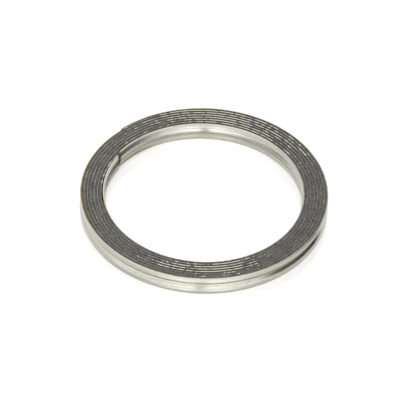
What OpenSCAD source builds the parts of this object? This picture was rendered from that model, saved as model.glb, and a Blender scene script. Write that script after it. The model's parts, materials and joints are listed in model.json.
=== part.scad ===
// Exhaust sealing ring: a vee-formed steel strip wound into a flat coil, with
// a graphite tape wound in between its turns. Sizes are in millimetres.

/* [Ring] */
// Bore across the lands of the first turn
inner_d = 36; // [24:0.5:80]
// Height between the two sealing faces
height = 3.65; // [3:0.05:6]
// Layers of strip across the ring
turns = 8; // [4:1:12]

/* [Strip] */
// Thickness of the rolled steel strip
strip_t = 0.2; // [0.1:0.01:0.3]
// How far the point of the vee stands in towards the bore
vee_depth = 0.35; // [0.2:0.01:0.5]
// Lean of each flank of the vee from upright
vee_lean = 27; // [20:1:40]
// Height of the flat at the bottom of the groove on the outside
vee_flat = 0.2; // [0.15:0.01:0.4]
// Radius on the hollow side of the soft bends beside the lands
land_bend_r = 0.5; // [0.3:0.05:0.8]
// Radius on the hollow side of the tight bends at the point
point_bend_r = 0.2; // [0.1:0.01:0.25]

/* [Tape] */
// Thickness of the graphite tape on the lands
tape_t = 0.41; // [0.3:0.01:0.8]
// Thickness to which the inner end of the tape is crushed
tape_start_t = 0.26; // [0.2:0.01:0.28]
// Thickness to which the outer end of the tape is crushed
tape_end_t = 0.27; // [0.2:0.01:0.28]

/* [Winding] */
// Angle from which each turn climbs onto the next, counter-clockwise from the right
climb_angle = 64; // [0:1:359]
// Room between the inner end of the strip and the turn that climbs over it
start_gap = 0.06; // [0.03:0.01:0.1]
// Room between the outer end of the strip and the turn below it
end_gap = 0.05; // [0.03:0.01:0.1]
// How far the centre of the last stretch moves out, to close that stretch in
closing = 0.2; // [0.1:0.01:0.4]

/* [Hidden] */
round_fn = 240;
land_bend_steps = 2;
point_bend_steps = 1;
spare = 1;

// Radii are kept to whole micrometres and angles to hundredths of a degree, so that the
// half turns meet exactly.
function micron(size) = round(size * 1000) / 1000;
function hundredth(angle) = round(angle * 100) / 100;
step = micron((strip_t + tape_t) / 2);
pitch = 2 * step;
first_r = micron(inner_d / 2);
last = turns - 1;

// The strip is thicker along a radius on its flanks than on its lands.
strip_run = strip_t / cos(vee_lean);
tape_run = pitch - strip_run;
mitre = tan(vee_lean / 2);
flank = vee_depth / tan(vee_lean);
land = (height - vee_flat) / 2 - flank - strip_t * mitre;

// The angle past the climb line at which two turns have come closer by a given distance,
// when their centres lie the given distance apart
function angle_at(nearer, apart) = hundredth(acos(1 - nearer / apart));
start_at = angle_at(strip_run + start_gap, step);
end_at = angle_at(tape_run - end_gap, step + closing);
tape_start_at = angle_at(strip_run + tape_start_t, step);
tape_end_at = angle_at(tape_run - tape_end_t, step + closing);

function turn_r(turn) = first_r + turn * pitch;
function backwards(points) = [for (i = [len(points) - 1:-1:0]) points[i]];

// One rounded bend of an upward line, with a positive radius where it turns to the left
function bend(at, heading, turn_by, radius, steps) =
    let (
        back = radius * tan(turn_by / 2),
        centre = at - back * [cos(heading), sin(heading)] + radius * [-sin(heading), cos(heading)]
    )
    [for (i = [0:steps])
        let (way = heading + turn_by * i / steps)
        centre + radius * [sin(way), -cos(way)]];

// A face of the strip from its lower edge to its upper edge, out by the given distance
// from the inner face
function vee_face(out) =
    let (
        low = land + out * mitre,
        point = low + flank,
        lands = land_bend_r + out,
        points = point_bend_r + strip_t - out,
        up = 90
    )
    concat(
        [[out, 0]],
        bend([out, low], up, vee_lean, lands, land_bend_steps),
        bend([out - vee_depth, point], up + vee_lean, -vee_lean, -points, point_bend_steps),
        bend([out - vee_depth, height - point], up, -vee_lean, -points, point_bend_steps),
        bend([out, height - low], up - vee_lean, vee_lean, lands, land_bend_steps),
        [[out, height]]
    );

function moved(points, by) = [for (p = points) [p.x + by, p.y]];

module strip_section() {
    polygon(concat(vee_face(0), backwards(vee_face(strip_t))));
}

module tape_section() {
    polygon(concat(vee_face(strip_t), backwards(moved(vee_face(0), pitch))));
}

// Everything just inside the strip, up to its inner face
module inside_section() {
    polygon(concat([[-pitch, 0]], vee_face(0), [[-pitch, height]]));
}

// Strip and all inside it, up to the outer face of the strip, past both sealing faces
module core_section() {
    polygon(concat(
        [[-2 * pitch, -spare], [strip_t, -spare]],
        vee_face(strip_t),
        [[strip_t, height + spare], [-2 * pitch, height + spare]]
    ));
}

// A section swept round a centre that may lie off the axis, along the climb line
module sweep(radius, from, to, off = 0) {
    translate([off, 0])
        rotate_extrude(angle = to - from, start = from, $fn = round_fn)
            translate([radius - off, 0])
                children();
}

module level_half(turn) {
    sweep(turn_r(turn), 180, 360) children();
}

module climbing_half(turn) {
    sweep(turn_r(turn), 0, 180, -step) children();
}

module steel_strip() {
    color("silver")
        rotate(climb_angle) {
            sweep(turn_r(0), start_at, 360) strip_section();
            for (turn = [0:last - 1])
                climbing_half(turn) strip_section();
            for (turn = [1:last])
                level_half(turn) strip_section();
            sweep(turn_r(last), 0, end_at, closing) strip_section();
        }
}

// The tape's ends are crushed into the wedges that the strip's ends leave.
module tape_start() {
    difference() {
        sweep(turn_r(0), tape_start_at, 180, -step) inside_section();
        sweep(turn_r(0), 0, 360) core_section();
    }
}

module tape_end() {
    difference() {
        sweep(turn_r(last), 0, tape_end_at, closing) inside_section();
        sweep(turn_r(last - 1), -180, 180, -step) core_section();
    }
}

module graphite_filler() {
    color("dimgray")
        rotate(climb_angle) {
            tape_start();
            for (turn = [0:last - 1])
                level_half(turn) tape_section();
            for (turn = [0:last - 2])
                climbing_half(turn) tape_section();
            tape_end();
        }
}

steel_strip();
graphite_filler();
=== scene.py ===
import json
import math

import bmesh
import bpy
from mathutils import Matrix, Vector

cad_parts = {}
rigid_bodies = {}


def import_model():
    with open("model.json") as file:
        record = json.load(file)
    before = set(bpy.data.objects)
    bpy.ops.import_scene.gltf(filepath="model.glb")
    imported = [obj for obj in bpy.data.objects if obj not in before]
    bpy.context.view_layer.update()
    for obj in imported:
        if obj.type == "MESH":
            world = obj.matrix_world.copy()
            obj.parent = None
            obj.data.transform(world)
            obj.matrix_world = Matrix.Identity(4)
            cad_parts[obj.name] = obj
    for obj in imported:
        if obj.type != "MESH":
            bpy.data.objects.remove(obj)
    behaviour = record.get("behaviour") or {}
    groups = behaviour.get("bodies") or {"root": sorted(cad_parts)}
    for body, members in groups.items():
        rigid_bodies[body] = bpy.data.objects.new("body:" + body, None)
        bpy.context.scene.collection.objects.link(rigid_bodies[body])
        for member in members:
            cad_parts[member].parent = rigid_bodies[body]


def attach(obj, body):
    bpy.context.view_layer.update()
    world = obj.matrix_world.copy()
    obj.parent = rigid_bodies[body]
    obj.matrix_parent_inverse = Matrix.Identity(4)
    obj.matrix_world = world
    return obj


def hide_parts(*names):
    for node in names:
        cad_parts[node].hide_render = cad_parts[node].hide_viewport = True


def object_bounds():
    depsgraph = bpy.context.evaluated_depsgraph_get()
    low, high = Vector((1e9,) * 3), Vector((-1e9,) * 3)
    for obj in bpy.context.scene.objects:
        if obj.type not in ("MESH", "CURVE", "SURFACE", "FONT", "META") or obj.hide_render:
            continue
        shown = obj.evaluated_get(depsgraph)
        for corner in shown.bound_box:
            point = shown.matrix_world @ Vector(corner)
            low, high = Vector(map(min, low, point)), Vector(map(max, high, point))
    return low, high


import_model()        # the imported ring, two nodes on one body
cadLow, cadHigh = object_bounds()
print("frame loaded", tuple(cadLow), tuple(cadHigh))

mm = 0.001
up = Vector((0, 0, 1))
sameSpot = 0.002 * mm       # points this close count as being at the same height or radius
mergeGap = 0.0005 * mm      # points this close are made one


# the coil that strip and tape share
winding = {
    "boreRadius": 18 * mm,      # lands of the first turn
    "turns": 8,
    "stripThick": 0.2 * mm,
    "tapeThick": 0.41 * mm,
    "veeDepth": 0.35 * mm,
    "veeLean": math.radians(27),
    "veeFlat": 0.2 * mm,       # bottom of the groove
    "landBend": 0.5 * mm,       # hollow side of the bends beside the lands
    "pointBend": 0.2 * mm,      # hollow side of the bends at the point
    "climbAngle": math.radians(64),
    "startGap": 0.06 * mm,      # inner end of the strip to the turn over it
    "endGap": 0.05 * mm,        # outer end of the strip to the turn below it
    "tapeStart": 0.26 * mm,     # the tape's ends are crushed to these
    "tapeEnd": 0.27 * mm,
    "closing": 0.2 * mm,        # draws the outer end in
}
ringHeight = cadHigh.z
halfPitch = (winding["stripThick"] + winding["tapeThick"]) / 2
pitch = 2 * halfPitch
lastTurn = winding["turns"] - 1
mitre = math.tan(winding["veeLean"] / 2)
stripRun = winding["stripThick"] / math.cos(winding["veeLean"])     # strip along a radius, on a flank
tapeRun = pitch - stripRun


def angleAt(nearer, apart):     # where two turns have come closer by that much
    return math.acos(1 - nearer / apart)


stripStartAt = angleAt(stripRun + winding["startGap"], halfPitch)
stripEndAt = angleAt(tapeRun - winding["endGap"], halfPitch + winding["closing"])
tapeStartAt = angleAt(stripRun + winding["tapeStart"], halfPitch)
tapeEndAt = angleAt(tapeRun - winding["tapeEnd"], halfPitch + winding["closing"])


# mesh helpers
def editMode(piece):
    bpy.ops.object.mode_set(mode="OBJECT")
    bpy.ops.object.select_all(action="DESELECT")
    piece.select_set(True)
    bpy.context.view_layer.objects.active = piece
    bpy.ops.object.mode_set(mode="EDIT")


def objectMode():
    bpy.ops.object.mode_set(mode="OBJECT")


def pickVerts(piece, test):
    bpy.ops.mesh.select_mode(type="VERT")
    bpy.ops.mesh.select_all(action="DESELECT")
    cage = bmesh.from_edit_mesh(piece.data)
    for vert in cage.verts:
        vert.select = test(vert)
    cage.select_flush_mode()
    bmesh.update_edit_mesh(piece.data)


def pickEdges(piece, test):
    bpy.ops.mesh.select_mode(type="EDGE")
    bpy.ops.mesh.select_all(action="DESELECT")
    cage = bmesh.from_edit_mesh(piece.data)
    for edge in cage.edges:
        edge.select = test(edge)
    cage.select_flush_mode()
    bmesh.update_edit_mesh(piece.data)


def near(a, b):
    return abs(a - b) < sameSpot


def settle(piece, x, angle):     # turned first, then moved, and both go into the mesh
    piece.location.x = x
    piece.rotation_euler.z = angle
    bpy.ops.object.transform_apply(location=True, rotation=True, scale=True)


# the rolled vee of the strip, as a ribbon of faces that stands on the section plane
def veeRibbon(name, landSteps, pointSteps):
    thick = winding["stripThick"]
    lean = winding["veeLean"]
    landBend = winding["landBend"]
    pointBend = winding["pointBend"]
    flank = winding["veeDepth"] / math.tan(lean)
    land = (ringHeight - winding["veeFlat"]) / 2 - flank - thick * mitre
    landRun = land - landBend * mitre
    flankRun = winding["veeDepth"] / math.sin(lean) - (landBend + pointBend + thick) * mitre
    flatRun = winding["veeFlat"] - 2 * pointBend * mitre
    bpy.ops.object.select_all(action="DESELECT")
    bpy.ops.mesh.primitive_plane_add(
        size=thick,
        location=(thick / 2, 0, landRun / 2),
        rotation=(math.pi / 2, 0, 0),
    )
    ribbon = bpy.context.object
    ribbon.name = name
    ribbon.scale = (1, landRun / thick, 1)
    bpy.ops.object.transform_apply(location=True, rotation=True, scale=True)
    editMode(ribbon)
    pickVerts(ribbon, lambda v: near(v.co.z, landRun))
    at = Vector((0, 0, landRun))        # inner end of the growing edge
    heading = up.copy()

    def bend(at, heading, angle):       # positive leans towards the bore
        outwards = Vector((heading.z, 0, -heading.x))
        centre, steps = at - landBend * outwards, landSteps
        if angle < 0:
            centre, steps = at + (pointBend + thick) * outwards, pointSteps
        bpy.ops.mesh.spin(steps=steps, angle=angle, center=centre, axis=(0, 1, 0))
        turn = Matrix.Rotation(-angle, 3, "Y")
        return centre + turn @ (at - centre), turn @ heading

    def run(at, heading, length):
        bpy.ops.mesh.extrude_region_move(TRANSFORM_OT_translate={"value": length * heading})
        return at + length * heading, heading

    for angle, length in ((lean, flankRun), (-lean, flatRun), (-lean, flankRun), (lean, landRun)):
        at, heading = bend(at, heading, angle)
        at, heading = run(at, heading, length)
    bpy.ops.mesh.select_all(action="SELECT")
    bpy.ops.mesh.remove_doubles(threshold=mergeGap)
    return ribbon


def sectionLoop(piece):      # only the outline stays, ready to be swept
    bpy.ops.mesh.select_mode(type="FACE")
    bpy.ops.mesh.select_all(action="SELECT")
    bpy.ops.mesh.dissolve_faces()
    bpy.ops.mesh.select_all(action="SELECT")
    bpy.ops.mesh.delete(type="ONLY_FACE")
    objectMode()


def turnRadius(turn):
    return winding["boreRadius"] + turn * pitch


def sweep(loop, radius, fromAngle, toAngle, centreX, stepAngle):
    bpy.ops.object.select_all(action="DESELECT")
    loop.select_set(True)
    bpy.context.view_layer.objects.active = loop
    bpy.ops.object.duplicate()
    stretch = bpy.context.object
    settle(stretch, radius - centreX, 0)
    settle(stretch, centreX, fromAngle)
    editMode(stretch)
    bpy.ops.mesh.select_all(action="SELECT")
    bpy.ops.mesh.spin(
        steps=max(1, round((toAngle - fromAngle) / stepAngle)),
        angle=fromAngle - toAngle,      # spin counts clockwise
        center=(centreX, 0, 0),
        axis=(0, 0, 1),
    )
    objectMode()
    return stretch


def joinUp(loop, stretches, smoothAngle):       # one closed skin, turned to the climb line
    name = loop.name
    bpy.data.objects.remove(loop)
    bpy.ops.object.select_all(action="DESELECT")
    for stretch in stretches:
        stretch.select_set(True)
    piece = stretches[0]
    bpy.context.view_layer.objects.active = piece
    bpy.ops.object.join()
    piece.name = name
    editMode(piece)
    bpy.ops.mesh.select_all(action="SELECT")
    bpy.ops.mesh.remove_doubles(threshold=mergeGap)
    bpy.ops.mesh.fill_holes(sides=0)
    bpy.ops.mesh.select_all(action="SELECT")
    bpy.ops.mesh.normals_make_consistent(inside=False)
    objectMode()
    settle(piece, 0, winding["climbAngle"])
    bpy.ops.object.shade_smooth_by_angle(angle=smoothAngle)
    return piece


def mark(stretches, name, chosen):      # a value of 1 on the chosen stretches, for the materials
    for stretch in stretches:
        values = stretch.data.attributes.new(name, "FLOAT", "POINT").data
        values.foreach_set("value", [float(stretch in chosen)] * len(values))


# the strip: two half circles a turn, about two centres half a pitch apart
strip = {
    "edgeRound": 0.03 * mm,     # rolled corners of the strip's edges
    "edgeSteps": 2,
    "landSteps": 4,
    "pointSteps": 2,
    "stepAngle": math.radians(2),
    "smoothAngle": math.radians(32),
}


def makeStrip():
    loop = veeRibbon("steelStrip", strip["landSteps"], strip["pointSteps"])
    bpy.ops.mesh.select_mode(type="FACE")
    bpy.ops.mesh.select_all(action="SELECT")
    bpy.ops.mesh.dissolve_faces()
    pickVerts(loop, lambda v: near(v.co.z, 0) or near(v.co.z, ringHeight))
    bpy.ops.mesh.bevel(offset=strip["edgeRound"], segments=strip["edgeSteps"], affect="VERTICES")
    sectionLoop(loop)
    across = loop.data.attributes.new("across", "FLOAT", "POINT")
    for vert in loop.data.vertices:
        across.data[vert.index].value = vert.co.x / winding["stripThick"]       # 0 to 1 over the top edge
    fine = strip["stepAngle"]

    def level(turn):
        return sweep(loop, turnRadius(turn), math.pi, 2 * math.pi, 0, fine)

    def climb(turn, fromAngle, toAngle):
        return sweep(loop, turnRadius(turn), fromAngle, toAngle, -halfPitch, fine)

    inside = [sweep(loop, turnRadius(0), stripStartAt, 2 * math.pi, 0, fine), climb(0, 0, stripStartAt)]
    between = [climb(0, stripStartAt, math.pi), climb(lastTurn - 1, 0, stripEndAt)]
    for turn in range(1, lastTurn):
        between.append(level(turn))
    for turn in range(1, lastTurn - 1):
        between.append(climb(turn, 0, math.pi))
    lastStretch = sweep(loop, turnRadius(lastTurn), 0, stripEndAt, winding["closing"], fine)
    outside = [climb(lastTurn - 1, stripEndAt, math.pi), level(lastTurn), lastStretch]
    stretches = inside + between + outside
    mark(stretches, "bore", inside)
    mark(stretches, "rim", outside)
    return joinUp(loop, stretches, strip["smoothAngle"])


# the tape: fills the room between the outer face of one turn and the inner face of the next
tape = {
    "landSteps": 2,
    "pointSteps": 1,
    "stepAngle": math.radians(0.82),
    "topCuts": 6,
    "bottomCuts": 2,
    "edgeSink": 0.07 * mm,      # the tape's edges lie lower, beside the strip
    "smoothAngle": math.radians(60),
    "grainSize": 0.16 * mm,
    "grainDepth": 0.05 * mm,
}


def tapeSection():
    loop = veeRibbon("graphiteTape", tape["landSteps"], tape["pointSteps"])

    def level(edge, height):
        return all(near(v.co.z, height) for v in edge.verts)

    pickEdges(loop, lambda e: not e.is_boundary or level(e, 0) or level(e, ringHeight))
    bpy.ops.mesh.delete(type="EDGE")        # leaves the strip's two faces as open lines
    pickVerts(loop, lambda v: near(v.co.z, 0) and near(v.co.x, 0))
    bpy.ops.mesh.select_linked()
    bpy.ops.transform.translate(value=(pitch, 0, 0))        # its inner face, one turn on
    bpy.ops.mesh.select_linked()
    objectMode()
    across = loop.data.attributes.new("across", "FLOAT", "POINT")
    for vert in loop.data.vertices:
        across.data[vert.index].value = float(vert.select)      # 1 against the next turn
    editMode(loop)
    bpy.ops.mesh.select_mode(type="EDGE")
    bpy.ops.mesh.select_all(action="SELECT")
    bpy.ops.mesh.bridge_edge_loops()
    for height, cuts in ((ringHeight, tape["topCuts"]), (0, tape["bottomCuts"])):
        pickEdges(loop, lambda e: level(e, height))
        bpy.ops.mesh.subdivide(number_cuts=cuts)
    inner = winding["stripThick"]
    pickVerts(loop, lambda v: near(v.co.z, ringHeight) and (near(v.co.x, inner) or near(v.co.x, pitch)))
    bpy.ops.transform.translate(value=(0, 0, -tape["edgeSink"]))
    sectionLoop(loop)
    return loop


def crush(stretch, awayAt):      # pushes the bore side out to the turn below
    across = stretch.data.attributes["across"].data
    for vert in stretch.data.vertices:
        flat = Vector((vert.co.x, vert.co.y, 0))
        away = awayAt(math.atan2(flat.y, flat.x))
        vert.co += (1 - across[vert.index].value) * away * flat.normalized()


def roughen(piece, height, strength):      # crumbly grain, only ever into the tape
    name = "grain" + str(round(height / mm))
    group = piece.vertex_groups.new(name=name)
    group.add([v.index for v in piece.data.vertices if near(v.co.z, height)], 1, "REPLACE")
    texture = bpy.data.textures.new(name, "CLOUDS")
    texture.noise_scale = tape["grainSize"]
    displace = piece.modifiers.new(name, "DISPLACE")
    displace.texture = texture
    displace.texture_coords = "LOCAL"
    displace.direction = "Z"
    displace.mid_level = 0
    displace.strength = strength
    displace.vertex_group = name
    bpy.ops.object.modifier_apply(modifier=name)


def makeTape():
    loop = tapeSection()
    fine = tape["stepAngle"]
    first = sweep(loop, turnRadius(-1), tapeStartAt, math.pi, -halfPitch, fine)
    crush(first, lambda a: halfPitch * (1 + math.cos(a)))
    last = sweep(loop, turnRadius(lastTurn - 1), 0, tapeEndAt, winding["closing"], fine)
    crush(last, lambda a: (halfPitch + winding["closing"]) * (1 - math.cos(a)))
    stretches = [first, last]
    for turn in range(lastTurn):
        stretches.append(sweep(loop, turnRadius(turn), math.pi, 2 * math.pi, 0, fine))
    for turn in range(lastTurn - 1):
        stretches.append(sweep(loop, turnRadius(turn), 0, math.pi, -halfPitch, fine))
    piece = joinUp(loop, stretches, tape["smoothAngle"])
    roughen(piece, ringHeight, -tape["grainDepth"])
    roughen(piece, 0, tape["grainDepth"])
    return piece


steelStrip = makeStrip()
print("strip", len(steelStrip.data.vertices), "points")
graphiteTape = makeTape()
print("tape", len(graphiteTape.data.vertices), "points")


# shader helpers
def feed(tree, socket, value):
    if isinstance(value, bpy.types.NodeSocket):
        tree.links.new(value, socket)
    else:
        socket.default_value = value


def addNode(tree, kind, inputs=None, **settings):
    node = tree.nodes.new("ShaderNode" + kind)
    for name, value in settings.items():
        setattr(node, name, value)
    for name, value in (inputs or {}).items():
        feed(tree, node.inputs[name], value)
    return node


def calc(tree, operation, a, b=0.0, c=0.0):
    node = addNode(tree, "Math", {0: a, 1: b, 2: c}, operation=operation)
    return node.outputs[0]


def fade(tree, value, low, high, toLow=0.0, toHigh=1.0):
    node = addNode(
        tree,
        "MapRange",
        {"Value": value, "From Min": low, "From Max": high, "To Min": toLow, "To Max": toHigh},
        interpolation_type="SMOOTHSTEP",
    )
    return node.outputs["Result"]


def stops(tree, value, marks):      # a ramp through grey levels
    node = addNode(tree, "ValToRGB", {"Fac": value})
    elements = node.color_ramp.elements
    while len(elements) < len(marks):
        elements.new(0.5)
    for element, (position, level) in zip(elements, sorted(marks)):
        element.position = position
        element.color = (level, level, level, 1)
    return node.outputs["Color"]


def noise(tree, place, scale, seed, detail, roughness):
    node = addNode(
        tree,
        "TexNoise",
        {"Vector": place, "W": seed, "Scale": scale, "Detail": detail, "Roughness": roughness},
        noise_dimensions="4D",
    )
    return node.outputs["Fac"]


def blendColor(tree, amount, a, b):
    node = addNode(tree, "Mix", {"Factor": amount}, data_type="RGBA", blend_type="MIX")
    feed(tree, node.inputs[6], a)       # the mix node's colour sockets
    feed(tree, node.inputs[7], b)
    return node.outputs[2]


def times(tree, *factors):
    product = factors[0]
    for factor in factors[1:]:
        product = calc(tree, "MULTIPLY", product, factor)
    return product


def offFrom(tree, value, middle):       # distance either way
    return calc(tree, "ABSOLUTE", calc(tree, "SUBTRACT", value, middle))


def seenRay(tree):      # 1 for what the camera, metal and glass see
    rays = addNode(tree, "LightPath").outputs
    seen = calc(tree, "MAXIMUM", rays["Is Camera Ray"], rays["Is Glossy Ray"])
    return calc(tree, "MAXIMUM", seen, rays["Is Transmission Ray"])


def newGroup(name, inputs, outputs):
    tree = bpy.data.node_groups.new(name, "ShaderNodeTree")
    for socketName, kind in inputs:
        tree.interface.new_socket(socketName, in_out="INPUT", socket_type="NodeSocket" + kind)
    for socketName, kind in outputs:
        tree.interface.new_socket(socketName, in_out="OUTPUT", socket_type="NodeSocket" + kind)
    start = tree.nodes.new("NodeGroupInput")
    end = tree.nodes.new("NodeGroupOutput")
    return tree, start.outputs, end.inputs


def useGroup(tree, group, inputs):
    node = tree.nodes.new("ShaderNodeGroup")
    node.node_tree = group
    for name, value in inputs.items():
        feed(tree, node.inputs[name], value)
    return node.outputs


def newMaterial(name):
    material = bpy.data.materials.new(name)
    material.use_nodes = True
    tree = material.node_tree
    tree.nodes.clear()
    shader = addNode(tree, "BsdfPrincipled")
    addNode(tree, "OutputMaterial", {"Surface": shader.outputs["BSDF"]})
    place = addNode(tree, "TexCoord").outputs["Object"]
    return material, tree, shader, place


# where a point lies on the ring: its way round, its radius and height in millimetres, its angle
def ringPlaceGroup():
    tree, given, out = newGroup(
        "ringPlace",
        [("Place", "Vector")],
        [("Round", "Vector"), ("Radius", "Float"), ("Height", "Float"), ("Turn", "Float")],
    )
    parts = addNode(tree, "SeparateXYZ", {"Vector": given["Place"]}).outputs
    flat = addNode(tree, "CombineXYZ", {"X": parts["X"], "Y": parts["Y"]}).outputs[0]
    length = addNode(tree, "VectorMath", {0: flat}, operation="LENGTH").outputs["Value"]
    radius = calc(tree, "DIVIDE", length, mm)
    direction = addNode(tree, "VectorMath", {0: flat}, operation="NORMALIZE").outputs["Vector"]
    turned = calc(tree, "ARCTAN2", parts["Y"], parts["X"])
    turn = calc(tree, "FRACT", calc(tree, "DIVIDE", turned, 2 * math.pi))
    feed(tree, out["Round"], direction)
    feed(tree, out["Radius"], radius)
    feed(tree, out["Height"], calc(tree, "DIVIDE", parts["Z"], mm))
    feed(tree, out["Turn"], turn)
    return tree


# stretched noise: long along the winding, fine across it
windingDetail = (3.0, 0.55)     # detail and roughness


def windingNoiseGroup():
    tree, given, out = newGroup(
        "windingNoise",
        [("Round", "Vector"), ("Radius", "Float"), ("Height", "Float"), ("Along", "Float"),
         ("Across", "Float"), ("Seed", "Float")],
        [("Value", "Float")],
    )
    way = addNode(tree, "VectorMath", {0: given["Round"], "Scale": given["Along"]}, operation="SCALE")
    side = calc(tree, "MULTIPLY", given["Radius"], given["Across"])
    rise = calc(tree, "MULTIPLY_ADD", given["Height"], given["Across"], given["Seed"])
    lift = addNode(tree, "CombineXYZ", {"Z": side}).outputs[0]
    place = addNode(tree, "VectorMath", {0: way.outputs["Vector"], 1: lift}, operation="ADD")
    feed(tree, out["Value"], noise(tree, place.outputs["Vector"], 1.0, rise, *windingDetail))
    return tree


# pressed flake graphite: grey grain with dark pits, also where it is smeared over the strip's edges
grainLook = {
    "fine": (2900.0, 1.0, 3.0, 0.7),        # scale, seed, detail and roughness
    "broad": (500.0, 4.0, 3.0, 0.6),
    "broadShare": 0.25,
    "tones": (0.38, 0.62),
    "pits": (1500.0, 7.0, 2.0, 0.5),
    "pitEdge": (0.37, 0.3),
}


def graphiteGrainGroup():
    tree, given, out = newGroup(
        "graphiteGrain",
        [("Place", "Vector"), ("Dark", "Color"), ("Light", "Color")],
        [("Color", "Color"), ("Pits", "Float"), ("Grain", "Float")],
    )
    place = given["Place"]
    fine = noise(tree, place, *grainLook["fine"])
    broad = noise(tree, place, *grainLook["broad"])
    pits = fade(tree, noise(tree, place, *grainLook["pits"]), *grainLook["pitEdge"])
    share = grainLook["broadShare"]
    mixed = calc(tree, "MULTIPLY_ADD", broad, share, calc(tree, "MULTIPLY", fine, 1 - share))
    shade = fade(tree, mixed, *grainLook["tones"])
    tone = blendColor(tree, shade, given["Dark"], given["Light"])
    feed(tree, out["Color"], tone)
    feed(tree, out["Pits"], pits)
    feed(tree, out["Grain"], mixed)
    return tree


# how far graphite covers the strip's edges, by layer and by angle round the ring
smear = {
    "inner": [(0, 1.0), (0.06, 0.88), (0.11, 0.68), (0.16, 0.42), (0.21, 0.3), (0.25, 0.4), (0.3, 0.62),
              (0.36, 0.68), (0.42, 0.6), (0.5, 0.66), (0.56, 0.95), (0.67, 0.95), (0.73, 0.5), (0.79, 0.34),
              (0.83, 0.7), (0.87, 1.0), (1, 1.0)],
    "middle": [(0, 0.92), (0.06, 0.78), (0.11, 0.58), (0.16, 0.42), (0.22, 0.34), (0.28, 0.45), (0.33, 0.7),
               (0.4, 0.86), (0.55, 0.9), (0.65, 0.76), (0.7, 0.34), (0.79, 0.32), (0.83, 0.62), (0.87, 1.0),
               (1, 0.92)],
    "outer": [(0, 0.85), (0.06, 0.8), (0.12, 0.62), (0.17, 0.42), (0.23, 0.28), (0.28, 0.36), (0.33, 0.5),
              (0.4, 0.85), (0.48, 0.84), (0.54, 1.0), (0.68, 1.0), (0.74, 0.8), (0.8, 0.72), (0.86, 0.98),
              (1, 0.85)],
    "innerTo": 19.2,        # radii in millimetres at which one layer's ramp gives way to the next
    "outerFrom": 20.9,
    "blend": 0.5,
    "patches": {"Along": 26.0, "Across": 1.3, "Seed": 41.0},
    "contrast": 2.0,        # of the patches, about a level of one half
    "balance": 1.5,
    "softness": 0.1,
}


def smearGroup():
    tree, given, out = newGroup(
        "graphiteSmear",
        [("Round", "Vector"), ("Turn", "Float"), ("Radius", "Float"), ("Height", "Float")],
        [("Mask", "Float"), ("Level", "Float")],
    )
    turn = given["Turn"]
    inner = stops(tree, turn, smear["inner"])
    middle = stops(tree, turn, smear["middle"])
    outer = stops(tree, turn, smear["outer"])
    span = smear["blend"]
    toMiddle = fade(tree, given["Radius"], smear["innerTo"] - span, smear["innerTo"] + span)
    toOuter = fade(tree, given["Radius"], smear["outerFrom"] - span, smear["outerFrom"] + span)
    level = blendColor(tree, toOuter, blendColor(tree, toMiddle, inner, middle), outer)
    shared = {"Round": given["Round"], "Radius": given["Radius"], "Height": given["Height"]}
    patches = useGroup(tree, windingNoise, {**shared, **smear["patches"]})["Value"]
    leaning = calc(tree, "SUBTRACT", level, smear["balance"])
    edge = calc(tree, "MULTIPLY_ADD", patches, smear["contrast"], leaning)
    feed(tree, out["Mask"], fade(tree, edge, -smear["softness"], smear["softness"]))
    feed(tree, out["Level"], level)
    return tree


ringPlace = ringPlaceGroup()
windingNoise = windingNoiseGroup()
graphiteGrain = graphiteGrainGroup()
graphiteSmear = smearGroup()

graphiteLook = {
    "dark": (0.045, 0.0435, 0.037, 1),
    "light": (0.14, 0.136, 0.119, 1),
    "sunkShade": (0.03, 0.029, 0.025, 1),        # painted shade where the tape lies lower, between bare edges
    "pit": (0.012, 0.0115, 0.01, 1),
    "sunkShadeLevels": (0.85, 0.35, 0.0, 0.9),        # smear levels over which it sets in, and how far
    "dashes": {"Along": 22.0, "Across": 1.4, "Seed": 23.0},
    "dashEdge": (0.5, 0.58),
    "nextTurn": (0.62, 0.8),        # painted shade in the seams beside the two turns of the strip
    "lastTurn": (0.18, 0.04, 0.0, 0.6),
    "rough": (0.3, 0.7, 0.66, 0.52),
    "bump": 0.4,
    "bumpDepth": 0.05 * mm,
}


def graphiteMaterial():
    material, tree, shader, place = newMaterial("pressedGraphite")
    ring = useGroup(tree, ringPlace, {"Place": place})
    shared = {"Round": ring["Round"], "Radius": ring["Radius"], "Height": ring["Height"]}
    grain = useGroup(
        tree, graphiteGrain, {"Place": place, "Dark": graphiteLook["dark"], "Light": graphiteLook["light"]}
    )
    level = useGroup(tree, graphiteSmear, {**shared, "Turn": ring["Turn"]})["Level"]
    # painted shade where the tape lies lower between bare edges of the strip
    between = fade(tree, level, *graphiteLook["sunkShadeLevels"])
    color = blendColor(tree, between, grain["Color"], graphiteLook["sunkShade"])
    across = addNode(tree, "Attribute", attribute_name="across").outputs["Fac"]
    broken = useGroup(tree, windingNoise, {**shared, **graphiteLook["dashes"]})["Value"]
    dashes = fade(tree, broken, *graphiteLook["dashEdge"])
    # painted shade in the seams beside the strip, broken into dashes
    besideNext = fade(tree, across, *graphiteLook["nextTurn"])
    besideLast = fade(tree, across, *graphiteLook["lastTurn"])
    paintedShade = times(tree, calc(tree, "MAXIMUM", besideNext, besideLast), dashes)
    dark = calc(tree, "MAXIMUM", grain["Pits"], paintedShade)
    feed(tree, shader.inputs["Base Color"], blendColor(tree, dark, color, graphiteLook["pit"]))
    feed(tree, shader.inputs["Roughness"], fade(tree, grain["Grain"], *graphiteLook["rough"]))
    bump = addNode(
        tree,
        "Bump",
        {"Strength": graphiteLook["bump"], "Distance": graphiteLook["bumpDepth"], "Height": grain["Grain"]},
    )
    feed(tree, shader.inputs["Normal"], bump.outputs["Normal"])
    return material


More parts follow.
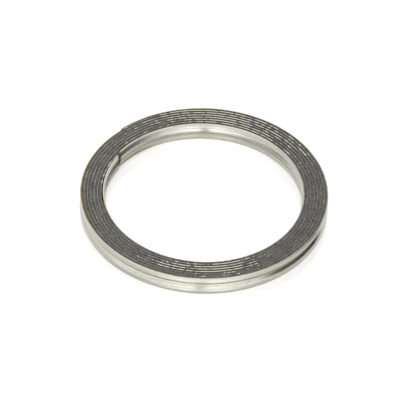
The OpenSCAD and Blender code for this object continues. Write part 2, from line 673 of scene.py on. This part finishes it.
# rolled stainless; heights and bands are in millimetres, turns are shares of the way round
steelLook = {
    "bright": (0.47, 0.466, 0.422, 1),
    "dull": (0.425, 0.42, 0.378, 1),
    "streaks": {"Along": 14.0, "Across": 9.0, "Seed": 3.0},      # rolling marks
    "streakTones": (0.35, 0.65),
    "rough": (0.3, 0.7, 0.13, 0.18),
    "smearRough": 0.35,
    "anisotropic": 0.4,
    "anisotropicTurn": 0.25,        # glints spread across the rolling marks
    "bump": 0.03,
    "bumpDepth": 0.01 * mm,
}
# painted shade and a painted reflection on the strip, with brown down in the rim's groove
paintedShadeLook = {
    "shadeGrey": (0.34, 0.328, 0.28, 1),
    "flankShadeBand": (0.95, 0.45),       # painted shade on the bore's flanks, by the distance from mid height
    "flankShadeTurns": [(0.14, 0.2), (0.2, 0.55), (0.3, 0.55), (0.36, 0.2)],
    "ridgeBand": (0.32, 0.1),
    "lipDrop": 0.22,                # a line of painted shade this far below the bore's top edge
    "lipBand": (0.18, 0.06, 0.0, 0.5),
    "footBand": (0.9, 0.35, 0.0, 0.4),      # painted shade at the foot of the rim
    "ridgeLine": (0.22, 0.21, 0.172, 1),    # painted shade: a dark line on the point of the vee in the bore
    "ridgeLineBand": (0.2, 0.08),
    "grooveBrown": (0.5, 0.468, 0.388, 1),      # down in the rim's groove
    "grooveBand": (0.3, 0.12),
    "cardReflection": (0.12, 0.085, 0.05, 1),         # painted reflection of the brown card, in the groove on the right
    "cardReflectionBand": (0.45, 0.15),
    "cardReflectionTurns": [(0.8, 0.0), (0.86, 0.55), (0.94, 0.55), (0.98, 0.0)],
}
heatLook = {
    "worn": (0.8, 0.78, 0.69, 1),           # bare top edges
    "straw": (0.53, 0.46, 0.25, 1),         # on the rim's top edge
    "strawTurns": [(0, 0.4), (0.2, 0.6), (0.26, 1.0), (0.55, 1.0), (0.62, 0.4), (0.9, 0.3), (1, 0.4)],
    "strawOnWorn": 0.35,
    "strawDrop": (0.2, 0.08),
    "stains": {"Along": 9.0, "Across": 1.2, "Seed": 17.0},
    "stainTones": (0.35, 0.6, 0.5, 1.0),
    "brown": (0.046, 0.034, 0.018, 1),      # before the inner end on the upper land, past it on the flank
    "upperLand": ((2.3, 2.6), (3.5, 3.2, 0.15, 1.0)),
    "upperFlank": ((1.6, 1.8), (2.8, 2.5)),
    "before": [(-0.1, 0.0), (-0.05, 0.75), (-0.003, 1.0), (0.001, 0.0)],     # turns from the inner end
    "after": [(-0.003, 0.0), (0.001, 0.9), (0.06, 0.65), (0.1, 0.0)],
    "gold": (0.22, 0.18, 0.1, 1),
    "lowerLand": (1.0, 0.55),
    "golden": [(-0.1, 0.0), (-0.05, 0.8), (0.05, 0.8), (0.11, 0.0)],
    "endGapShade": (0.012, 0.01, 0.008, 1),    # painted shade of the gap at the inner end itself
    "endGapShadeFrom": (1.5, 1.9),
    "spot": [(-0.009, 0.0), (-0.005, 1.0), (0, 1.0), (0.003, 0.0)],
}
edgeLook = {
    "smearDark": (0.06, 0.058, 0.05, 1),
    "smearLight": (0.18, 0.175, 0.152, 1),
    "topHeight": 0.06,      # below the face, to which the smear reaches
    "lipTurns": [(0, 0.3), (0.1, 0.7), (0.14, 0.9), (0.52, 0.9), (0.6, 0.3), (1, 0.3)],     # bare in the bore
    "rimTurns": [(0, 0.5), (0.2, 0.8), (0.26, 1.0), (0.56, 1.0), (0.78, 0.7), (0.84, 0.35), (0.95, 0.35),
                 (1, 0.5)],     # bare on the rim
    "threads": {"Along": 8.0, "Across": 1.7, "Seed": 57.0},      # long thin lines that shine through
    "threadLevels": (0.5, 0.58, 0.25, 0.65),
    "threadMiddle": 0.4,
    "threadBand": (0.3, 0.1),
    "threadTurns": [(0, 0.3), (0.1, 0.45), (0.28, 1.0), (0.46, 1.0), (0.56, 0.65), (0.7, 0.5), (0.85, 0.3),
                    (1, 0.3)],
}
innerEnd = (winding["climbAngle"] + stripStartAt) / (2 * math.pi)       # where the strip starts


# painted shade on the bore's ridge, flanks, below its top edge and at the rim's foot, and more marks below
def addPaintedShade(tree, metal, ring, bore, rim):
    offMiddle = offFrom(tree, ring["Height"], ringHeight / mm / 2)
    offLip = offFrom(tree, ring["Height"], ringHeight / mm - paintedShadeLook["lipDrop"])
    flankShadeTurns = stops(tree, ring["Turn"], paintedShadeLook["flankShadeTurns"])
    flankShade = times(tree, fade(tree, offMiddle, *paintedShadeLook["flankShadeBand"]), flankShadeTurns)
    # painted shade on the bore's ridge and flanks, and a line of it below the bore's top edge
    ridge = calc(tree, "MAXIMUM", fade(tree, offMiddle, *paintedShadeLook["ridgeBand"]), flankShade)
    ridge = calc(tree, "MAXIMUM", ridge, fade(tree, offLip, *paintedShadeLook["lipBand"]))
    # painted shade at the rim's foot
    foot = times(tree, rim, fade(tree, ring["Height"], *paintedShadeLook["footBand"]))
    # painted shade, mixed into the steel's colour
    paintedShade = calc(tree, "MAXIMUM", times(tree, bore, ridge), foot)
    metal = blendColor(tree, paintedShade, metal, paintedShadeLook["shadeGrey"])
    # painted shade along the point of the vee in the bore
    ridgeLine = times(tree, bore, fade(tree, offMiddle, *paintedShadeLook["ridgeLineBand"]))
    metal = blendColor(tree, ridgeLine, metal, paintedShadeLook["ridgeLine"])
    groove = times(tree, rim, fade(tree, offMiddle, *paintedShadeLook["grooveBand"]))
    metal = blendColor(tree, groove, metal, paintedShadeLook["grooveBrown"])
    # painted reflection of the brown card, in the rim's groove on the right
    cardReflection = times(tree, rim, fade(tree, offMiddle, *paintedShadeLook["cardReflectionBand"]))
    cardReflection = times(tree, cardReflection, stops(tree, ring["Turn"], paintedShadeLook["cardReflectionTurns"]))
    return blendColor(tree, cardReflection, metal, paintedShadeLook["cardReflection"])


def addHeatAndEndShade(tree, metal, ring, shared, bore, rim, top):      # straw on top edges, burns about the inner end, painted shade at the inner end itself
    height = ring["Height"]
    strawTurns = stops(tree, ring["Turn"], heatLook["strawTurns"])
    strawOnWorn = times(tree, strawTurns, heatLook["strawOnWorn"])
    worn = blendColor(tree, strawOnWorn, heatLook["worn"], heatLook["straw"])
    metal = blendColor(tree, top, metal, worn)
    edge = times(tree, rim, fade(tree, height, *(ringHeight / mm - drop for drop in heatLook["strawDrop"])))
    stains = useGroup(tree, windingNoise, {**shared, **heatLook["stains"]})["Value"]
    tinted = times(tree, strawTurns, fade(tree, stains, *heatLook["stainTones"]))
    metal = blendColor(tree, times(tree, edge, tinted), metal, heatLook["straw"])

    def byInnerEnd(marks):
        return stops(tree, ring["Turn"], [(innerEnd + away, level) for away, level in heatLook[marks]])

    def band(name):
        low, high = heatLook[name]
        return times(tree, fade(tree, height, *low), fade(tree, height, *high))

    before = times(tree, band("upperLand"), byInnerEnd("before"))
    after = times(tree, band("upperFlank"), byInnerEnd("after"))
    burnt = times(tree, calc(tree, "MAXIMUM", before, after), bore)
    metal = blendColor(tree, burnt, metal, heatLook["brown"])
    golden = times(tree, fade(tree, height, *heatLook["lowerLand"]), byInnerEnd("golden"), bore)
    metal = blendColor(tree, golden, metal, heatLook["gold"])
    # painted shade of the gap at the strip's inner end
    spot = times(tree, byInnerEnd("spot"), bore, fade(tree, height, *heatLook["endGapShadeFrom"]))
    return blendColor(tree, spot, metal, heatLook["endGapShade"])


def smearCover(tree, ring, shared, bore, rim, top):      # graphite over the top edges, with bare threads
    smeared = useGroup(tree, graphiteSmear, {**shared, "Turn": ring["Turn"]})["Mask"]
    lip = times(tree, bore, stops(tree, ring["Turn"], edgeLook["lipTurns"]))
    rimBare = times(tree, rim, stops(tree, ring["Turn"], edgeLook["rimTurns"]))
    coated = calc(tree, "SUBTRACT", 1.0, calc(tree, "MAXIMUM", rimBare, lip))
    across = addNode(tree, "Attribute", attribute_name="across").outputs["Fac"]
    offThread = offFrom(tree, across, edgeLook["threadMiddle"])
    lines = useGroup(tree, windingNoise, {**shared, **edgeLook["threads"]})["Value"]
    thread = times(
        tree,
        fade(tree, lines, *edgeLook["threadLevels"]),
        fade(tree, offThread, *edgeLook["threadBand"]),
        stops(tree, ring["Turn"], edgeLook["threadTurns"]),
    )
    return times(tree, top, smeared, coated, calc(tree, "SUBTRACT", 1.0, thread))


def steelMaterial():
    material, tree, shader, place = newMaterial("rolledStainless")
    ring = useGroup(tree, ringPlace, {"Place": place})
    shared = {"Round": ring["Round"], "Radius": ring["Radius"], "Height": ring["Height"]}
    bore = addNode(tree, "Attribute", attribute_name="bore").outputs["Fac"]
    rim = addNode(tree, "Attribute", attribute_name="rim").outputs["Fac"]
    face = ringHeight / mm
    reach = edgeLook["topHeight"]
    top = fade(tree, ring["Height"], face - reach, face - reach / 3)
    streaks = useGroup(tree, windingNoise, {**shared, **steelLook["streaks"]})["Value"]
    rolled = fade(tree, streaks, *steelLook["streakTones"])
    metal = blendColor(tree, rolled, steelLook["dull"], steelLook["bright"])
    metal = addPaintedShade(tree, metal, ring, bore, rim)
    metal = addHeatAndEndShade(tree, metal, ring, shared, bore, rim, top)
    grain = useGroup(
        tree, graphiteGrain, {"Place": place, "Dark": edgeLook["smearDark"], "Light": edgeLook["smearLight"]}
    )
    covered = smearCover(tree, ring, shared, bore, rim, top)
    feed(tree, shader.inputs["Base Color"], blendColor(tree, covered, metal, grain["Color"]))
    feed(tree, shader.inputs["Metallic"], calc(tree, "SUBTRACT", 1.0, covered))
    rough = fade(tree, streaks, *steelLook["rough"])
    feed(tree, shader.inputs["Roughness"], calc(tree, "MULTIPLY_ADD", covered, steelLook["smearRough"], rough))
    shader.inputs["Anisotropic"].default_value = steelLook["anisotropic"]
    shader.inputs["Anisotropic Rotation"].default_value = steelLook["anisotropicTurn"]
    bump = addNode(
        tree, "Bump", {"Strength": steelLook["bump"], "Distance": steelLook["bumpDepth"], "Height": streaks}
    )
    feed(tree, shader.inputs["Normal"], bump.outputs["Normal"])
    return material


for piece, node, slotName, material in (
    (steelStrip, "steel_strip", "stainless_strip", steelMaterial()),
    (graphiteTape, "graphite_filler", "graphite", graphiteMaterial()),
):
    piece.data.materials.clear()
    piece.data.materials.append(material)
    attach(piece, "root")
    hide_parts(node)
print("materials set")


# a pale table top in a white room, polished about the ring, with a brown card on edge to the right
stage = {
    "floorRadius": 400 * mm,
    "floorSides": 96,
    "floorDrop": 0.02 * mm,
    "floorColor": (0.96, 0.96, 0.96, 1),
    "floorMottle": (0.94, 0.94, 0.935, 1),
    "floorClouds": (60.0, 2.0, 2.0, 0.5),       # scale, seed, detail and roughness
    "cloudTones": (0.3, 0.7),
    "floorGloss": 0.12,
    "floorDull": 0.5,
    "floorPolished": (25 * mm, 30 * mm),     # turns dull over this distance from the middle
    "floorIor": 1.9,
    "floorLift": 0.32,       # towards white, for what the camera and the metal see of it
    "roomLight": 0.55,      # what falls on the ring from the room
    "cardAt": 24 * mm,
    "cardSpan": (-35 * mm, -3 * mm),
    "cardHeight": 3.4 * mm,
    "cardEnds": ((-34.5 * mm, -20.5 * mm), (-3.5 * mm, -9 * mm)),     # fades in over these stretches
    "cardDark": (0.09, 0.066, 0.04, 1),
    "cardLight": (0.15, 0.112, 0.07, 1),
    "cardFibres": (90.0, 5.0, 3.0, 0.6),
    "cardRough": 0.8,
}


def makeFloor():
    bpy.ops.object.select_all(action="DESELECT")
    bpy.ops.mesh.primitive_circle_add(
        vertices=stage["floorSides"],
        radius=stage["floorRadius"],
        fill_type="NGON",
        location=(0, 0, -stage["floorDrop"]),
    )
    floor = bpy.context.object
    floor.name = "tableTop"
    bpy.ops.object.transform_apply(location=True, rotation=True, scale=True)
    material, tree, shader, place = newMaterial("paleTable")
    cloud = fade(tree, noise(tree, place, *stage["floorClouds"]), *stage["cloudTones"])
    feed(tree, shader.inputs["Base Color"], blendColor(tree, cloud, stage["floorColor"], stage["floorMottle"]))
    away = addNode(tree, "VectorMath", {0: place}, operation="LENGTH").outputs["Value"]
    dull = fade(tree, away, *stage["floorPolished"], stage["floorGloss"], stage["floorDull"])
    feed(tree, shader.inputs["Roughness"], dull)
    shader.inputs["Specular IOR Level"].default_value = 1.0
    shader.inputs["IOR"].default_value = stage["floorIor"]
    feed(tree, shader.inputs["Emission Strength"], times(tree, seenRay(tree), stage["floorLift"]))
    shader.inputs["Emission Color"].default_value = (1, 1, 1, 1)
    floor.data.materials.append(material)


def makeCard():     # close to the ring, and seen only in what mirrors it
    bpy.ops.object.select_all(action="DESELECT")
    low, high = stage["cardSpan"]
    bpy.ops.mesh.primitive_plane_add(
        size=1,
        location=(stage["cardAt"], (low + high) / 2, stage["cardHeight"] / 2),
        rotation=(0, math.pi / 2, 0),
    )
    card = bpy.context.object
    card.name = "brownCard"
    card.scale = (stage["cardHeight"], high - low, 1)
    bpy.ops.object.transform_apply(location=True, rotation=True, scale=True)
    card.visible_camera = False
    card.visible_diffuse = False
    card.visible_shadow = False
    material, tree, shader, place = newMaterial("brownBoard")
    fibres = fade(tree, noise(tree, place, *stage["cardFibres"]), *stage["cloudTones"])
    feed(tree, shader.inputs["Base Color"], blendColor(tree, fibres, stage["cardDark"], stage["cardLight"]))
    along = addNode(tree, "SeparateXYZ", {"Vector": place}).outputs["Y"]
    frontEnd, backEnd = stage["cardEnds"]
    feed(tree, shader.inputs["Alpha"], times(tree, fade(tree, along, *frontEnd), fade(tree, along, *backEnd)))
    shader.inputs["Roughness"].default_value = stage["cardRough"]
    card.data.materials.append(material)


def makeRoom():
    world = bpy.data.worlds.new("whiteRoom")
    world.use_nodes = True
    bpy.context.scene.world = world
    tree = world.node_tree
    tree.nodes.clear()
    back = addNode(tree, "Background", {"Color": (1, 1, 1, 1)})
    feed(tree, back.inputs["Strength"], fade(tree, seenRay(tree), 0, 1, stage["roomLight"], 1.0))
    addNode(tree, "OutputWorld", {"Surface": back.outputs["Background"]})


def wayTo(azimuth, rise):
    return Vector((math.cos(rise) * math.cos(azimuth), math.cos(rise) * math.sin(azimuth), math.sin(rise)))


# soft boxes in front, on both sides of the camera, seen only in what mirrors them
softBox = {
    "distance": 450 * mm,
    "elevation": math.radians(31),
    "width": 760 * mm,
    "height": 450 * mm,
    "left": math.radians(229),      # azimuths of their middles
    "right": math.radians(311),
    "room": 1.0,                    # their dim parts are as bright as the room
    "low": 2.2,
    "lowBand": [(0, 0.0), (0.05, 1.0), (0.3, 1.0), (0.55, 0.0)],        # shares of the height
    "lowSides": ((0.0, 0.1, 0.45, 1.0), (1.0, 0.85)),       # shares of the width, from the camera
    "high": 7.0,
    "highBand": [(0.45, 0.0), (0.7, 1.0), (0.8, 1.0), (0.95, 0.0)],
    "highSides": ((0.08, 0.26), (0.62, 0.24)),
}


def makeSoftBox(name, azimuth, nearSide):
    way = wayTo(azimuth, softBox["elevation"])
    bpy.ops.object.select_all(action="DESELECT")
    bpy.ops.mesh.primitive_plane_add(
        size=1, location=softBox["distance"] * way, rotation=way.to_track_quat("Z", "Y").to_euler()
    )
    box = bpy.context.object
    box.name = name
    box.scale = (softBox["width"], softBox["height"], 1)
    bpy.ops.object.transform_apply(location=True, rotation=True, scale=True)
    box.visible_camera = False
    box.visible_diffuse = False
    material, tree, shader = newMaterial(name)[:3]
    onBox = addNode(tree, "SeparateXYZ", {"Vector": addNode(tree, "TexCoord").outputs["UV"]}).outputs
    fromCamera = offFrom(tree, onBox["X"], nearSide)
    glow = softBox["room"]
    for part in ("high", "low"):
        begins, ends = softBox[part + "Sides"]
        side = times(tree, fade(tree, fromCamera, *begins), fade(tree, fromCamera, *ends))
        lit = times(tree, side, stops(tree, onBox["Y"], softBox[part + "Band"]))
        glow = calc(tree, "MULTIPLY_ADD", lit, softBox[part], glow)
    shader.inputs["Base Color"].default_value = (0, 0, 0, 1)
    shader.inputs["Specular IOR Level"].default_value = 0
    shader.inputs["Emission Color"].default_value = (1, 1, 1, 1)
    feed(tree, shader.inputs["Emission Strength"], glow)
    box.data.materials.append(material)


# lights the table and the graphite from behind, so that the shadow falls towards the camera
backLamp = {
    "distance": 450 * mm,
    "azimuth": math.radians(98),
    "elevation": math.radians(74),
    "size": 700 * mm,
    "energy": 1.3,
}


def makeBackLamp():
    way = wayTo(backLamp["azimuth"], backLamp["elevation"])
    bpy.ops.object.light_add(
        type="AREA", location=backLamp["distance"] * way, rotation=way.to_track_quat("Z", "Y").to_euler()
    )
    lamp = bpy.context.object
    lamp.name = "backLamp"
    lamp.data.size = backLamp["size"]
    lamp.data.energy = backLamp["energy"]
    lamp.visible_camera = False
    lamp.visible_glossy = False


# a long lens, as fitted to the ring's outlines in the photograph
photoView = {
    "elevation": math.radians(43.47),
    "roll": math.radians(1.91),
    "distance": 898.8 * mm,
    "focalPixels": 4971.4,
    "imagePixels": 400,
    "ringPixel": (203.23, 206.55),      # the ring's foot centre in the photograph
    "sensor": 36,
    "clipEnd": 10,
}


def makeCamera():
    tilt = Matrix.Rotation(math.pi / 2 - photoView["elevation"], 3, "X")
    turn = tilt @ Matrix.Rotation(photoView["roll"], 3, "Z")
    middle = photoView["imagePixels"] / 2
    offX = middle - photoView["ringPixel"][0]
    offY = photoView["ringPixel"][1] - middle
    pixel = photoView["distance"] / photoView["focalPixels"]
    spot = turn @ Vector((offX * pixel, offY * pixel, photoView["distance"]))
    bpy.ops.object.camera_add(location=spot, rotation=turn.to_euler())
    camera = bpy.context.object
    camera.name = "photoCamera"
    camera.data.sensor_width = photoView["sensor"]
    camera.data.lens = photoView["focalPixels"] / photoView["imagePixels"] * photoView["sensor"]
    camera.data.clip_end = photoView["clipEnd"]
    bpy.context.scene.camera = camera


makeFloor()
makeCard()
makeRoom()
makeSoftBox("leftBox", softBox["left"], 1)
makeSoftBox("rightBox", softBox["right"], 0)
makeBackLamp()
makeCamera()
bpy.context.scene.view_settings.view_transform = "Standard"
print("stage set")
